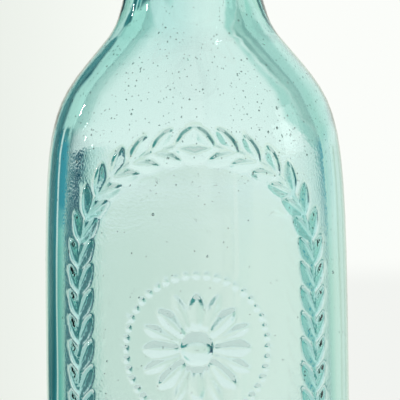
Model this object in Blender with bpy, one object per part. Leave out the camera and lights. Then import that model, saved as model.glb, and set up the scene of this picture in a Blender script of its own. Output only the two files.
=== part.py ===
"""A squat blob top bottle in thick glass, closed by a wired swing stopper.

The bottle is one turned solid with its real hollow: pushed-up base, heel, straight body, long ogee
shoulder, short neck and the thick rounded blob round the mouth. A tie wire lies under the blob and
coils into an eye at each side. The lever turns in those eyes. It carries the bail in two hairpin eyes
of its own, set just past the line of pull, so that pushing the lever down locks the stopper. The bail's
crossbar runs through the porcelain head, whose knobbed spigot holds the rubber seal in the mouth.

Metres, +Z up, front towards -Y. The origin is the centre of the foot.
"""
import bpy
import bmesh
from math import cos, pi, radians, sin, sqrt
from mathutils import Vector
from mathutils.geometry import interpolate_bezier

# Bottle, outside, from the foot up
BODY_RADIUS = 0.0330
BODY_HEIGHT = 0.0640
SHOULDER_HEIGHT = 0.0705
TURN_RADIUS = 0.01825
TURN_LEAN = radians(39.5)
SWEEP_HEIGHT = 0.0275
NECK_RADIUS = 0.0140
NECK_HEIGHT = 0.0160
NECK_TAPER = 0.0006
BLOB_RADIUS = 0.0173
BLOB_CROWN_HEIGHT = 0.0090
BLOB_SKIRT_HEIGHT = 0.0130
BLOB_TUCK_LEAN = radians(70)
LIP_LAND = 0.0008
HEEL_RADIUS = 0.0060
FOOT_WIDTH = 0.0030
PUSH_UP = 0.0060

# Bottle, inside
BODY_WALL = 0.0038
BORE_RADIUS = 0.0088
MOUTH_FLARE = 0.0020
FLOOR_THICKNESS = 0.0070
FLOOR_DIP = 0.0035
FLOOR_CORNER = 0.0090

# Wires
TIE_WIRE = 0.0020
LEVER_WIRE = 0.0020
BAIL_WIRE = 0.0020
ELBOW_RADIUS = 0.0016
COIL_SPACE = 0.0004
TWIST_LEAD = 0.0075
TWIST_TURNS = 1.25
TWIST_DROP = 0.0026

# Lever, from the tie wire's eyes
CRANK_LENGTH = 0.0090
OVER_CENTRE = 0.0008
PINCH_HEIGHT = 0.0036
HAIRPIN_RADIUS = 0.0018
LEVER_LEAN = radians(30)
LEVER_ARM = 0.0270
LEVER_CORNER = 0.0060

# Bail
BAIL_CORNER = 0.0050

# Stopper, heights from the top of the lip
SEAL_RADIUS = 0.0112
SEAL_FOOT_INSET = 0.0003
SEAL_RISE = 0.0030
SPIGOT_RADIUS = 0.0055
KNOB_RADIUS = 0.0068
KNOB_HEIGHT = 0.0042
HEAD_RADIUS = 0.0120
HEAD_SIDE = 0.0030
HEAD_DOME = 0.0078
HOLE_FLOOR = 0.0016
HEAD_EDGE = 0.0008

# Clearances: standing still, turning, and swinging past the blob
FIT_GAP = 0.0003
RUN_GAP = 0.00035
SWING_GAP = 0.0008
CUT_OVERRUN = 0.0010
MERGE_DISTANCE = 0.000001

# How far the smooth curves pull along their end directions, as shares of the height they cover
SWEEP_PULL_SHARES = (0.22, 0.25)
SHOULDER_PULL_SHARES = (0.307, 0.82)
CROWN_PULL_SHARES = (0.62, 0.55)
SKIRT_PULL_SHARES = (0.62, 0.22)
PUSH_UP_PULL_SHARES = (0.9, 1.4)
FLOOR_PULL_SHARES = (0.45, 0.45)
CORNER_PULL_SHARES = (0.55, 0.55)
DOME_PULL_SHARES = (0.55, 0.75)
KNOB_PULL_SHARES = (0.55, 0.9)
STRAND_PULL_SHARE = 0.5
FLOOR_LOW_SHARE = 0.72
REJOIN_ANGLE = radians(58)
TWIST_ANGLE = radians(70)

# Faces round each turned piece, and points along each curve
BOTTLE_SIDES = 48
STOPPER_SIDES = 36
HOLE_SIDES = 16
BLOB_STEPS = 8
SWEEP_STEPS = 7
SHOULDER_STEPS = 13
HEEL_STEPS = 5
FLOOR_STEPS = 5
MOUTH_STEPS = 5
RING_STEPS = 12
COIL_STEPS = 16
BEND_STEPS = 6
ELBOW_STEPS = 4
TWIST_STEPS = 12
WIRE_BEVEL_STEPS = 2

OUT = Vector((1, 0, 0))
BACK = Vector((0, 1, 0))
UP = Vector((0, 0, 1))

# Heights and places that follow from the sizes above
TURN_LEVEL = BODY_HEIGHT + SHOULDER_HEIGHT
NECK_LEVEL = TURN_LEVEL + SWEEP_HEIGHT
BLOB_LEVEL = NECK_LEVEL + NECK_HEIGHT
LIP_LEVEL = BLOB_LEVEL + BLOB_SKIRT_HEIGHT + BLOB_CROWN_HEIGHT
NECK_TOP_RADIUS = NECK_RADIUS - NECK_TAPER
LIP_RADIUS = BORE_RADIUS + MOUTH_FLARE

RING_RADIUS = NECK_TOP_RADIUS + FIT_GAP + TIE_WIRE / 2
RING_LEVEL = BLOB_LEVEL - FIT_GAP - TIE_WIRE / 2
TIE_EYE = LEVER_WIRE / 2 + RUN_GAP + TIE_WIRE / 2
COIL_PITCH = TIE_WIRE + COIL_SPACE
COIL_OUTSIDE = RING_RADIUS + COIL_PITCH + TIE_WIRE / 2

LEVER_EYE = BAIL_WIRE / 2 + RUN_GAP + LEVER_WIRE / 2
LEVER_PLANE = max(COIL_OUTSIDE + RUN_GAP, BLOB_RADIUS + SWING_GAP) + LEVER_WIRE / 2
BAIL_PLANE = LEVER_PLANE + LEVER_WIRE / 2 + RUN_GAP + BAIL_WIRE / 2

HEAD_FLOOR = LIP_LEVEL + SEAL_RISE + FIT_GAP
HOLE_RADIUS = BAIL_WIRE / 2 + RUN_GAP

LEVER_PIVOT = Vector((0, 0, RING_LEVEL - TIE_EYE))
BAIL_PIVOT = LEVER_PIVOT + BACK * OVER_CENTRE - UP * CRANK_LENGTH
STOPPER_PIVOT = Vector((0, 0, HEAD_FLOOR + HOLE_FLOOR + HOLE_RADIUS))


def at(radius, level):
    """A point of a turned outline: its distance from the axis, and its height."""
    return Vector((radius, 0, level))


def bend(start, start_way, start_pull, end, end_way, end_pull, steps):
    """A smooth curve that leaves start along start_way and comes to end along end_way."""
    first = start + start_way.normalized() * start_pull
    second = end - end_way.normalized() * end_pull
    return interpolate_bezier(start, first, second, end, steps + 1)


def arc(centre, first, second, angle, steps):
    """Points on a circle round centre, from the radius first towards the radius second."""
    turns = [angle * step / steps for step in range(steps + 1)]
    return [centre + first * cos(turn) + second * sin(turn) for turn in turns]


def joined(*runs):
    """One list of points from several runs, without the point that two runs share."""
    points = []
    for run in runs:
        for point in run:
            if not points or (point - points[-1]).length > MERGE_DISTANCE:
                points.append(point)
    return points


def material(name, colour, roughness, metallic, transmission):
    """A plain finish with the colour, roughness and metal of the real surface."""
    made = bpy.data.materials.new(name)
    made.use_nodes = True
    shader = made.node_tree.nodes["Principled BSDF"]
    shader.inputs["Base Color"].default_value = (*colour, 1)
    shader.inputs["Roughness"].default_value = roughness
    shader.inputs["Metallic"].default_value = metallic
    shader.inputs["Transmission Weight"].default_value = transmission
    made.diffuse_color = (*colour, 1)
    return made


def place(name, data, pivot, finish, parent=None, parent_pivot=None):
    """Add an object whose origin is at pivot, carried by parent."""
    data.materials.append(finish)
    made = bpy.data.objects.new(name, data)
    bpy.context.scene.collection.objects.link(made)
    made.location = pivot
    if parent:
        made.parent = parent
        made.location = pivot - parent_pivot
    return made


def turned(name, outline, ring, sides, pivot):
    """A mesh turned round the Z axis from an outline; ring says that the outline is a closed loop."""
    shape = bmesh.new()
    verts = [shape.verts.new(point - pivot) for point in outline]
    ends = verts[1:] + verts[:1] if ring else verts[1:]
    edges = [shape.edges.new(pair) for pair in zip(verts, ends)]
    bmesh.ops.spin(shape, geom=verts + edges, cent=-pivot, axis=UP, angle=2 * pi, steps=sides,
                   use_merge=True)
    bmesh.ops.remove_doubles(shape, verts=shape.verts, dist=MERGE_DISTANCE)
    bmesh.ops.recalc_face_normals(shape, faces=shape.faces)
    mesh = bpy.data.meshes.new(name)
    shape.to_mesh(mesh)
    shape.free()
    mesh.shade_smooth()
    mesh.set_sharp_from_angle(angle=radians(35))
    return mesh


def wire(name, path, diameter, pivot):
    """A round wire along a path, with flat ends."""
    curve = bpy.data.curves.new(name, "CURVE")
    curve.dimensions = "3D"
    curve.bevel_depth = diameter / 2
    curve.bevel_resolution = WIRE_BEVEL_STEPS
    curve.use_fill_caps = True
    spline = curve.splines.new("POLY")
    spline.points.add(len(path) - 1)
    for point, place_on_path in zip(spline.points, path):
        point.co = (*(place_on_path - pivot), 1)
    spline.use_smooth = True
    return curve


def mirrored(path):
    """The same path on the other side of the bottle."""
    return [Vector((-point.x, point.y, point.z)) for point in path]


def both_sides(half):
    """A whole wire from its right half, which ends on the middle plane."""
    return joined(half, mirrored(half)[::-1])


def shoulder_outline():
    """The outside from the neck's foot down to the straight body: a hollow sweep, then the shoulder."""
    turn = at(TURN_RADIUS, TURN_LEVEL)
    turn_way = OUT * sin(TURN_LEAN) - UP * cos(TURN_LEAN)
    sweep_pulls = [share * SWEEP_HEIGHT for share in SWEEP_PULL_SHARES]
    shoulder_pulls = [share * SHOULDER_HEIGHT for share in SHOULDER_PULL_SHARES]
    sweep = bend(at(NECK_RADIUS, NECK_LEVEL), -UP, sweep_pulls[0],
                 turn, turn_way, sweep_pulls[1], SWEEP_STEPS)
    shoulder = bend(turn, turn_way, shoulder_pulls[0],
                    at(BODY_RADIUS, BODY_HEIGHT), -UP, shoulder_pulls[1], SHOULDER_STEPS)
    return joined(sweep, shoulder)


def blob_outline():
    """The outside of the blob, from the lip's flat land down to where it tucks into the neck."""
    widest = at(BLOB_RADIUS, LIP_LEVEL - BLOB_CROWN_HEIGHT)
    crown_pulls = [share * BLOB_CROWN_HEIGHT for share in CROWN_PULL_SHARES]
    skirt_pulls = [share * BLOB_SKIRT_HEIGHT for share in SKIRT_PULL_SHARES]
    tuck_way = -OUT * sin(BLOB_TUCK_LEAN) - UP * cos(BLOB_TUCK_LEAN)
    crown = bend(at(LIP_RADIUS + LIP_LAND, LIP_LEVEL), OUT, crown_pulls[0],
                 widest, -UP, crown_pulls[1], BLOB_STEPS)
    skirt = bend(widest, -UP, skirt_pulls[0],
                 at(NECK_TOP_RADIUS, BLOB_LEVEL), tuck_way, skirt_pulls[1], BLOB_STEPS)
    return joined([at(LIP_RADIUS, LIP_LEVEL)], crown, skirt)


def foot_outline():
    """The outside from the body's foot round the heel, over the resting ring, to the push-up's top."""
    foot_radius = BODY_RADIUS - HEEL_RADIUS
    inner_foot = foot_radius - FOOT_WIDTH
    heel = arc(at(foot_radius, HEEL_RADIUS), OUT * HEEL_RADIUS, -UP * HEEL_RADIUS, pi / 2, HEEL_STEPS)
    pulls = [share * PUSH_UP for share in PUSH_UP_PULL_SHARES]
    push_up = bend(at(inner_foot, 0), UP - OUT, pulls[0],
                   at(0, PUSH_UP), -OUT, pulls[1], FLOOR_STEPS)
    return joined(heel, push_up)


def inside_of(outline, first_wall, last_wall):
    """The inner surface behind an outline, square to it, with a wall that changes evenly."""
    inside = []
    last = len(outline) - 1
    for index, point in enumerate(outline):
        along = outline[min(index + 1, last)] - outline[max(index - 1, 0)]
        if index in (0, last):
            along = -UP
        inward = Vector((along.z, 0, -along.x)).normalized()
        wall = first_wall + (last_wall - first_wall) * index / last
        inside.append(point + inward * wall)
    return inside


def hollow_outline():
    """The inside from the middle of the floor up the wall and the bore to the rounded mouth."""
    inner_radius = BODY_RADIUS - BODY_WALL
    floor_level = PUSH_UP + FLOOR_THICKNESS
    lowest = at(inner_radius * FLOOR_LOW_SHARE, floor_level - FLOOR_DIP)
    wall_foot = at(inner_radius, lowest.z + FLOOR_CORNER)
    floor_pulls = [share * lowest.x for share in FLOOR_PULL_SHARES]
    corner_pulls = [CORNER_PULL_SHARES[0] * (inner_radius - lowest.x), CORNER_PULL_SHARES[1] * FLOOR_CORNER]
    floor = bend(at(0, floor_level), OUT, floor_pulls[0], lowest, OUT, floor_pulls[1], FLOOR_STEPS)
    corner = bend(lowest, OUT, corner_pulls[0], wall_foot, UP, corner_pulls[1], FLOOR_STEPS)
    wall = inside_of(shoulder_outline(), NECK_RADIUS - BORE_RADIUS, BODY_WALL)
    mouth = arc(at(LIP_RADIUS, LIP_LEVEL - MOUTH_FLARE), -OUT * MOUTH_FLARE, UP * MOUTH_FLARE,
                pi / 2, MOUTH_STEPS)
    return joined(floor, corner, wall[::-1], mouth)


def make_bottle(finish):
    """The glass, turned from one outline that runs up the inside and down the outside."""
    outline = joined(hollow_outline(), blob_outline(), shoulder_outline(), foot_outline())
    mesh = turned("bottle", outline, False, BOTTLE_SIDES, Vector())
    return place("bottle", mesh, Vector(), finish)


def tie_side(side):
    """Half of the tie wire, from the front round one side, through its eye, to the twist behind."""
    level = UP * RING_LEVEL
    outward = OUT * side
    ring = arc(level, -BACK * RING_RADIUS, outward * RING_RADIUS, pi / 2, RING_STEPS)
    coil = []
    for step in range(COIL_STEPS + 1):
        turn = 2 * pi * step / COIL_STEPS
        across = outward * (RING_RADIUS + COIL_PITCH * step / COIL_STEPS)
        coil.append(LEVER_PIVOT + across + (BACK * sin(turn) + UP * cos(turn)) * TIE_EYE)
    rejoin = level + (outward * cos(REJOIN_ANGLE) + BACK * sin(REJOIN_ANGLE)) * RING_RADIUS
    rejoin_way = BACK * cos(REJOIN_ANGLE) - outward * sin(REJOIN_ANGLE)
    pull = RING_RADIUS * STRAND_PULL_SHARE
    rear = bend(coil[-1], BACK, pull, rejoin, rejoin_way, pull, BEND_STEPS)
    last_way = BACK * cos(TWIST_ANGLE) - outward * sin(TWIST_ANGLE)
    last_on_ring = level + (outward * cos(TWIST_ANGLE) + BACK * sin(TWIST_ANGLE)) * RING_RADIUS
    twist_radius = (TIE_WIRE + FIT_GAP) / 2
    axis = level - UP * TWIST_DROP
    axis += BACK * (NECK_TOP_RADIUS + FIT_GAP + TIE_WIRE / 2 + COIL_SPACE + twist_radius)
    twist = []
    for step in range(TWIST_STEPS + 1):
        turned_by = 2 * pi * TWIST_TURNS * step / TWIST_STEPS
        fall = TWIST_LEAD * TWIST_TURNS * step / TWIST_STEPS
        around = outward * cos(turned_by) + BACK * side * sin(turned_by)
        twist.append(axis + around * twist_radius - UP * fall)
    start_way = BACK * side * twist_radius - UP * TWIST_LEAD / (2 * pi)
    close = bend(last_on_ring, last_way, TWIST_DROP, twist[0], start_way, TWIST_DROP, BEND_STEPS)
    return joined(ring, coil, rear, close, twist)


def make_tie_wire(finish, bottle):
    """The wire round the neck: front, two coiled eyes at the sides, twisted shut behind."""
    path = joined(tie_side(-1)[::-1], tie_side(1))
    curve = wire("neck_tie_wire", path, TIE_WIRE, Vector())
    return place("neck_tie_wire", curve, Vector(), finish, bottle, Vector())


def lever_half():
    """The right half of the lever: pin, elbow, hairpin eye, arm and half of the thumb bar."""
    plane = LEVER_PIVOT + OUT * LEVER_PLANE
    eye = BAIL_PIVOT + OUT * LEVER_PLANE
    half_pinch = (LEVER_WIRE + FIT_GAP) / 2
    pin_end = LEVER_PIVOT + OUT * (NECK_TOP_RADIUS + FIT_GAP + COIL_SPACE)
    elbow = arc(plane - (OUT + UP) * ELBOW_RADIUS, UP * ELBOW_RADIUS, OUT * ELBOW_RADIUS, pi / 2,
                ELBOW_STEPS)
    rear_pinch = eye + BACK * half_pinch + UP * PINCH_HEIGHT
    front_pinch = eye - BACK * half_pinch + UP * PINCH_HEIGHT
    pull = PINCH_HEIGHT * STRAND_PULL_SHARE
    rear = bend(elbow[-1], -UP, pull, rear_pinch, -UP, pull, BEND_STEPS)
    down = bend(rear_pinch, -UP, pull, eye + BACK * LEVER_EYE, -UP, pull, BEND_STEPS)
    bowl = arc(eye, BACK * LEVER_EYE, -UP * LEVER_EYE, pi, COIL_STEPS // 2)
    up = bend(bowl[-1], UP, pull, front_pinch, UP, pull, BEND_STEPS)
    hairpin = arc(front_pinch - BACK * HAIRPIN_RADIUS, BACK * HAIRPIN_RADIUS, UP * HAIRPIN_RADIUS,
                  pi - LEVER_LEAN, COIL_STEPS // 2)
    arm_way = -BACK * sin(LEVER_LEAN) - UP * cos(LEVER_LEAN)
    corner_start = hairpin[-1] + arm_way * (LEVER_ARM - LEVER_CORNER)
    corner = arc(corner_start - OUT * LEVER_CORNER, OUT * LEVER_CORNER, arm_way * LEVER_CORNER, pi / 2,
                 BEND_STEPS)
    middle = corner[-1] - OUT * corner[-1].x
    return joined([pin_end], elbow, rear, down, bowl, up, hairpin, corner, [middle])


def make_lever(finish, bottle):
    """The thumb lever, whose origin is on the line through the tie wire's eyes."""
    curve = wire("lever_wire", both_sides(lever_half()), LEVER_WIRE, LEVER_PIVOT)
    return place("lever_wire", curve, LEVER_PIVOT, finish, bottle, Vector())


def bail_half():
    """The right half of the bail: pin in the lever's eye, elbow, leg and half of the crossbar."""
    leg_way = (STOPPER_PIVOT - BAIL_PIVOT).normalized()
    foot = BAIL_PIVOT + OUT * BAIL_PLANE
    top = STOPPER_PIVOT + OUT * BAIL_PLANE
    pin_end = BAIL_PIVOT + OUT * (LEVER_PLANE - LEVER_WIRE / 2 - COIL_SPACE)
    elbow = arc(foot + (leg_way - OUT) * ELBOW_RADIUS, -leg_way * ELBOW_RADIUS, OUT * ELBOW_RADIUS,
                pi / 2, ELBOW_STEPS)
    corner = arc(top - (leg_way + OUT) * BAIL_CORNER, OUT * BAIL_CORNER, leg_way * BAIL_CORNER,
                 pi / 2, BEND_STEPS)
    return joined([pin_end], elbow, corner, [STOPPER_PIVOT])


def make_bail(finish, lever):
    """The yoke over the mouth, whose origin is on the line through the lever's eyes."""
    curve = wire("bail_wire", both_sides(bail_half()), BAIL_WIRE, BAIL_PIVOT)
    return place("bail_wire", curve, BAIL_PIVOT, finish, lever, LEVER_PIVOT)


def seal_cone_level(radius):
    """Height of the seal's cone, which lies a fitting gap off the mouth's rounding."""
    centre = at(LIP_RADIUS, LIP_LEVEL - MOUTH_FLARE)
    return centre.z + radius - centre.x + sqrt(2) * (MOUTH_FLARE + FIT_GAP)


def make_head(finish, bail):
    """The porcelain head with its spigot and knob, and the cross hole for the bail."""
    seal_foot = seal_cone_level(BORE_RADIUS - SEAL_FOOT_INSET)
    knob_top = seal_foot - FIT_GAP
    knob_pulls = [KNOB_PULL_SHARES[0] * KNOB_RADIUS, KNOB_PULL_SHARES[1] * KNOB_RADIUS / 2]
    knob = bend(at(0, knob_top - KNOB_HEIGHT), OUT, knob_pulls[0],
                at(KNOB_RADIUS, knob_top - HEAD_EDGE), UP, knob_pulls[1], BEND_STEPS)
    side_top = at(HEAD_RADIUS, HEAD_FLOOR + HEAD_SIDE)
    dome = bend(side_top, UP, DOME_PULL_SHARES[0] * HEAD_DOME,
                at(0, side_top.z + HEAD_DOME), -OUT, DOME_PULL_SHARES[1] * HEAD_DOME, BLOB_STEPS)
    outline = joined(knob, [at(KNOB_RADIUS - HEAD_EDGE, knob_top), at(SPIGOT_RADIUS, knob_top),
                            at(SPIGOT_RADIUS, HEAD_FLOOR), at(HEAD_RADIUS - HEAD_EDGE, HEAD_FLOOR),
                            at(HEAD_RADIUS, HEAD_FLOOR + HEAD_EDGE)], dome)
    mesh = turned("stopper_head", outline, False, STOPPER_SIDES, STOPPER_PIVOT)
    head = place("stopper_head", mesh, STOPPER_PIVOT, finish, bail, BAIL_PIVOT)
    cut = head.modifiers.new("cross hole", "BOOLEAN")
    cut.operation = "DIFFERENCE"
    cut.solver = "EXACT"
    cut.object = make_hole_cutter(finish, head)
    return head


def make_hole_cutter(finish, head):
    """The rod along X that opens the head's cross hole."""
    shape = bmesh.new()
    ends = bmesh.ops.create_cone(shape, cap_ends=True, segments=HOLE_SIDES, radius1=HOLE_RADIUS,
                                 radius2=HOLE_RADIUS, depth=2 * (HEAD_RADIUS + CUT_OVERRUN))
    bmesh.ops.rotate(shape, verts=ends["verts"], matrix=UP.rotation_difference(OUT).to_matrix())
    mesh = bpy.data.meshes.new("cross_hole_cutter")
    shape.to_mesh(mesh)
    shape.free()
    cutter = place("cross_hole_cutter", mesh, STOPPER_PIVOT, finish, head, STOPPER_PIVOT)
    cutter.hide_render = True
    cutter.display_type = "WIRE"
    return cutter


def make_seal(finish, head):
    """The rubber ring on the spigot: flat above, coned below to seat in the rounded mouth."""
    hole = SPIGOT_RADIUS + FIT_GAP
    foot_radius = BORE_RADIUS - SEAL_FOOT_INSET
    top = LIP_LEVEL + SEAL_RISE
    outline = [at(hole, seal_cone_level(foot_radius)), at(foot_radius, seal_cone_level(foot_radius)),
               at(SEAL_RADIUS, seal_cone_level(SEAL_RADIUS)), at(SEAL_RADIUS, top), at(hole, top)]
    mesh = turned("rubber_seal", outline, True, STOPPER_SIDES, STOPPER_PIVOT)
    return place("rubber_seal", mesh, STOPPER_PIVOT, finish, head, STOPPER_PIVOT)


def clear_scene():
    """Start from nothing."""
    for old in list(bpy.data.objects):
        bpy.data.objects.remove(old, do_unlink=True)


def main():
    """Build the bottle, then hang each piece of its closure on the one that carries it."""
    clear_scene()
    glass = material("aqua_glass", (0.42, 0.72, 0.72), 0.05, 0.0, 1.0)
    steel = material("tinned_wire", (0.52, 0.50, 0.46), 0.38, 1.0, 0.0)
    porcelain = material("white_porcelain", (0.88, 0.86, 0.80), 0.12, 0.0, 0.0)
    rubber = material("red_rubber", (0.46, 0.12, 0.07), 0.70, 0.0, 0.0)
    bottle = make_bottle(glass)
    make_tie_wire(steel.copy(), bottle)
    lever = make_lever(steel.copy(), bottle)
    bail = make_bail(steel, lever)
    head = make_head(porcelain, bail)
    make_seal(rubber, head)


main()
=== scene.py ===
# %% [markdown]
# # A blob top bottle in aqua glass, with a wired swing stopper
# The real bottle was blown in a mould in thick blue-green glass. It has small air bubbles, a wavy inside
# and a raised panel on its front. A bent wire closure holds a porcelain head and a rubber ring in its
# mouth. This script dresses the engineering model of that bottle: it reads the sizes from the model, adds
# the fine surfaces and finishes, and sets up a plain studio.

# %% Load the engineering model
from math import atan2, cos, pi, radians, sin, sqrt

import bmesh
import bpy
import numpy as np
from mathutils import Matrix, Vector


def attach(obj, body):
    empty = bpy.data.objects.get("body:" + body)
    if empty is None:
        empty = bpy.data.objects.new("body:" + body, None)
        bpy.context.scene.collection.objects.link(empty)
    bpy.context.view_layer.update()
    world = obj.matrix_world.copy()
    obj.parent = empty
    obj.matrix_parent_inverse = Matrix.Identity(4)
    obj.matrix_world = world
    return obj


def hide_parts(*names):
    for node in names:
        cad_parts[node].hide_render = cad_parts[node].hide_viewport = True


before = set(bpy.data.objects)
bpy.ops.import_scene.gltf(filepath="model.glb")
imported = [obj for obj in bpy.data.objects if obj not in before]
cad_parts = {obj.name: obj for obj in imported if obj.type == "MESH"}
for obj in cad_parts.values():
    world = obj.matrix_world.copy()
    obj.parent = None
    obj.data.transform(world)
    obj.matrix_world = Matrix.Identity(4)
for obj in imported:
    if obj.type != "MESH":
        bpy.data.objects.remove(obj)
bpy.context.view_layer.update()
MM = 0.001

# %% [markdown]
# ## The view
# The photograph is a close crop, taken level and from far away: the sides of the body stay parallel. So
# the lens is long and the camera stands well back. A pixel covers 0.2185 mm of the bottle, because the
# body is 302 pixels and 66 mm wide, so the foot would lie 250 rows below the frame. The bottle leans a
# little to the left in the frame, which is a roll of the camera, not of the bottle.

# %% Place the camera
PHOTO_WIDTH = 400
PIXEL = 0.2185 * MM
FOOT_ROW = 650
AXIS_COLUMN = 195.4
CAMERA_ROLL = radians(0.72)
CAMERA_DISTANCE = 0.9

middle = PHOTO_WIDTH / 2
view_centre = Vector(((middle - AXIS_COLUMN) * PIXEL, 0, (FOOT_ROW - middle) * PIXEL))
lens = bpy.data.cameras.new("photo_camera")
lens.sensor_width = 36
lens.lens = lens.sensor_width * CAMERA_DISTANCE / (PHOTO_WIDTH * PIXEL)
lens.clip_start = 0.01
camera = bpy.data.objects.new("photo_camera", lens)
bpy.context.scene.collection.objects.link(camera)
camera.location = view_centre - Vector((0, CAMERA_DISTANCE, 0))
camera.rotation_euler = (pi / 2, CAMERA_ROLL, 0)
bpy.context.scene.camera = camera
print("camera looks at", tuple(round(value, 4) for value in view_centre), "lens", round(lens.lens), "mm")

# %% [markdown]
# ## One way to write nodes
# Materials and Geometry Nodes are both graphs of nodes. Written out link by link they are hard to read,
# so a small class wraps a node's output and gives it arithmetic. Then `1 - mask` adds a Math node by
# itself, and a formula in the script looks like a formula.

# %% Give a node's output arithmetic


class Socket:
    """A node's output that adds Math nodes when it is used in a formula."""

    def __init__(self, graph, output):
        self.graph = graph
        self.output = output

    def __add__(self, other):
        return self.graph.math("ADD", self, other)

    def __sub__(self, other):
        return self.graph.math("SUBTRACT", self, other)

    def __rsub__(self, other):
        return self.graph.math("SUBTRACT", other, self)

    def __mul__(self, other):
        return self.graph.math("MULTIPLY", self, other)

    def __rtruediv__(self, other):
        return self.graph.math("DIVIDE", other, self)

    def __pow__(self, other):
        return self.graph.math("POWER", self, other)

    def __or__(self, other):
        """The larger of two masks, so what lies in either."""
        return self.graph.math("MAXIMUM", self, other)

    __radd__ = __add__
    __rmul__ = __mul__

    def beside(self, name):
        """Another output of the same node."""
        return Socket(self.graph, self.graph.pick(self.output.node.outputs, name))


print("socket class ready")

# %% [markdown]
# ## Adding nodes to a graph
# The second class adds the nodes. One call names a node, fills or links its inputs, picks an output and
# sets the node up. What materials need again and again are methods: a soft step, a mix of two colours, a
# row of colours, cracks, a bump and the surface itself.

# %% Define the graph helper


class Graph:
    """Adds nodes to one tree: the values or links of a node's inputs, the output wanted, then settings."""

    def __init__(self, tree):
        self.tree = tree
        self.tree.nodes.clear()

    def node(self, kind, inputs=None, output=None, **settings):
        made = self.tree.nodes.new(kind)
        for name, value in settings.items():
            if name == "stops":
                self.set_stops(made.color_ramp, value)
            else:
                setattr(made, name, value)
        for name, value in (inputs or {}).items():
            self.feed(self.pick(made.inputs, name), value)
        outputs = [socket for socket in made.outputs if socket.enabled]
        if not outputs:
            return made
        return Socket(self, outputs[0] if output is None else self.pick(made.outputs, output))

    @staticmethod
    def set_stops(ramp, stops):
        while len(ramp.elements) < len(stops):
            ramp.elements.new(1)
        for element, (position, colour) in zip(ramp.elements, stops):
            element.position = position
            element.color = (*colour, 1)

    @staticmethod
    def pick(sockets, name):
        if isinstance(name, int):
            return sockets[name]
        return next(socket for socket in sockets if socket.name == name and socket.enabled)

    def math(self, operation, *values):
        return self.node("ShaderNodeMath", dict(enumerate(values)), operation=operation)

    def feed(self, target, value):
        if isinstance(value, Socket):
            self.tree.links.new(value.output, target)
        elif isinstance(value, list):
            for one in value:
                self.feed(target, one)
        else:
            target.default_value = value

    def smooth(self, value, low, high, out_low=0.0, out_high=1.0):
        """A soft step from out_low to out_high while value goes from low to high."""
        ends = {"From Min": low, "From Max": high, "To Min": out_low, "To Max": out_high}
        return self.node("ShaderNodeMapRange", {"Value": value, **ends}, interpolation_type="SMOOTHSTEP")

    def vector(self, x, y, z):
        return self.node("ShaderNodeCombineXYZ", {0: x, 1: y, 2: z})

    def parts(self, vector):
        """The three numbers of a vector."""
        return [self.node("ShaderNodeSeparateXYZ", {0: vector}, name) for name in "XYZ"]

    def scaled(self, vector, factor):
        return self.node("ShaderNodeVectorMath", {0: vector, "Scale": factor}, operation="SCALE")

    def noise(self, vector, scale, detail=2.0, roughness=0.5):
        inputs = {"Vector": vector, "Scale": scale, "Detail": detail, "Roughness": roughness}
        return self.node("ShaderNodeTexNoise", inputs)

    def mix(self, factor, first, second):
        """One colour turned into another by factor."""
        inputs = {"Factor": factor, "A": first, "B": second}
        return self.node("ShaderNodeMix", inputs, "Result", data_type="RGBA")

    def ramp(self, stops, value):
        """The colour at value along a row of stops."""
        return self.node("ShaderNodeValToRGB", {"Fac": value}, "Color", stops=stops)

    def place(self):
        """Where a point of the piece lies, in the piece's own coordinates."""
        return self.node("ShaderNodeTexCoord", output="Object")

    def cracks(self, vector, scale, wide, narrow):
        """A net of cracks: the edges between random cells, from wide at its foot to narrow at its crest."""
        inputs = {"Vector": vector, "Scale": scale}
        from_edge = self.node("ShaderNodeTexVoronoi", inputs, "Distance", feature="DISTANCE_TO_EDGE")
        return self.smooth(from_edge, wide, narrow)

    def bump(self, strength, distance, height):
        """A normal that tilts as if the surface rose by distance where height is 1."""
        return self.node("ShaderNodeBump", {"Strength": strength, "Distance": distance, "Height": height})

    def surface(self, inputs, volume=None):
        """End a material with one Principled surface, and with a volume where it has one."""
        ends = {"Surface": self.node("ShaderNodeBsdfPrincipled", inputs)}
        if volume is not None:
            ends["Volume"] = volume
        self.node("ShaderNodeOutputMaterial", ends)


print("graph helper ready")

# %% [markdown]
# ## Reading outlines from the model
# Most pieces here are turned: one outline spun round an axis. The engineering model holds each outline as
# the points where its mesh crosses an upright plane, but with few points. So the outline is read from a
# copy of the mesh, with its doubled points merged, and a smooth curve is laid through it. That keeps the
# model's sizes and takes its facets away.

# %% Read and smooth an outline
MERGE = 0.005 * MM


def cad_copy(node):
    """A merged copy of a CAD node's mesh, as a bmesh."""
    shape = bmesh.new()
    shape.from_mesh(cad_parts[node].data)
    shape.transform(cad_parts[node].matrix_world)
    bmesh.ops.remove_doubles(shape, verts=shape.verts, dist=MERGE)
    return shape


def cad_outline(node, across, along):
    """The node's outline on the half plane where axis across is zero and axis along is positive."""
    shape = cad_copy(node)
    on_plane = {vert for vert in shape.verts if abs(vert.co[across]) < MERGE and vert.co[along] > -MERGE}
    links = {vert: [] for vert in on_plane}
    for edge in shape.edges:
        first, second = edge.verts
        if first in on_plane and second in on_plane:
            links[first].append(second)
            links[second].append(first)
    ends = [vert for vert in on_plane if len(links[vert]) == 1]
    start = max(ends, key=lambda vert: vert.co.z) if ends else max(on_plane, key=lambda vert: vert.co.z)
    chain = [start]
    while True:
        onward = [vert for vert in links[chain[-1]] if vert not in chain[-2:] and vert is not start]
        if not onward:
            break
        chain.append(onward[0])
    outline = np.array([(vert.co[along], vert.co.z) for vert in chain])
    shape.free()
    return outline


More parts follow.
